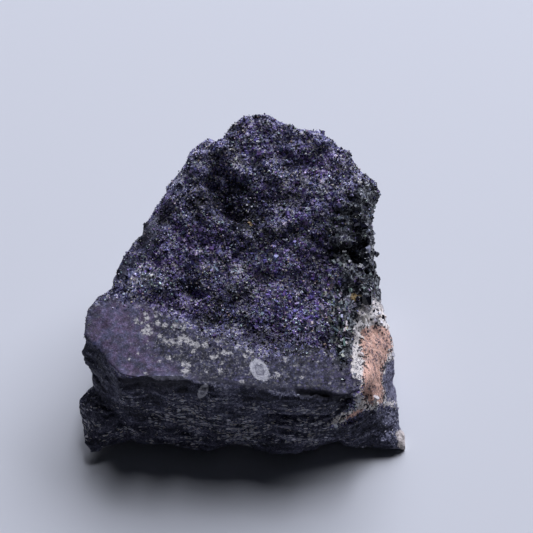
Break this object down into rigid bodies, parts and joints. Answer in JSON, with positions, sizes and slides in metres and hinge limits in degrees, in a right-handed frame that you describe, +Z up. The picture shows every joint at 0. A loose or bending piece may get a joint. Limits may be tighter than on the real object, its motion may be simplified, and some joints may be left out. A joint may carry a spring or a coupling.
{
  "type": "fluorite specimen",
  "caption": "Wedge-shaped hand specimen of dark purple, fine-grained fluorite rock with a smooth ledge, a rough crystal-crusted slope, a layered front and a pale break at its right side.",
  "frame": {"origin": "middle of the bounding box, on the flat broken base that the stone lies on", "axes": "+X to the right along the layered front face, +Y to the back where the stone is highest, +Z up"},
  "size_m": [0.0648, 0.0584, 0.044],
  "materials": {
    "dark_fluorite": "satin",
    "coarse_crystal": "gloss",
    "pale_grain": "satin"
  },
  "bodies": {
    "root": {"fluorite_stone": "dark_fluorite"}
  },
  "joints": []
}
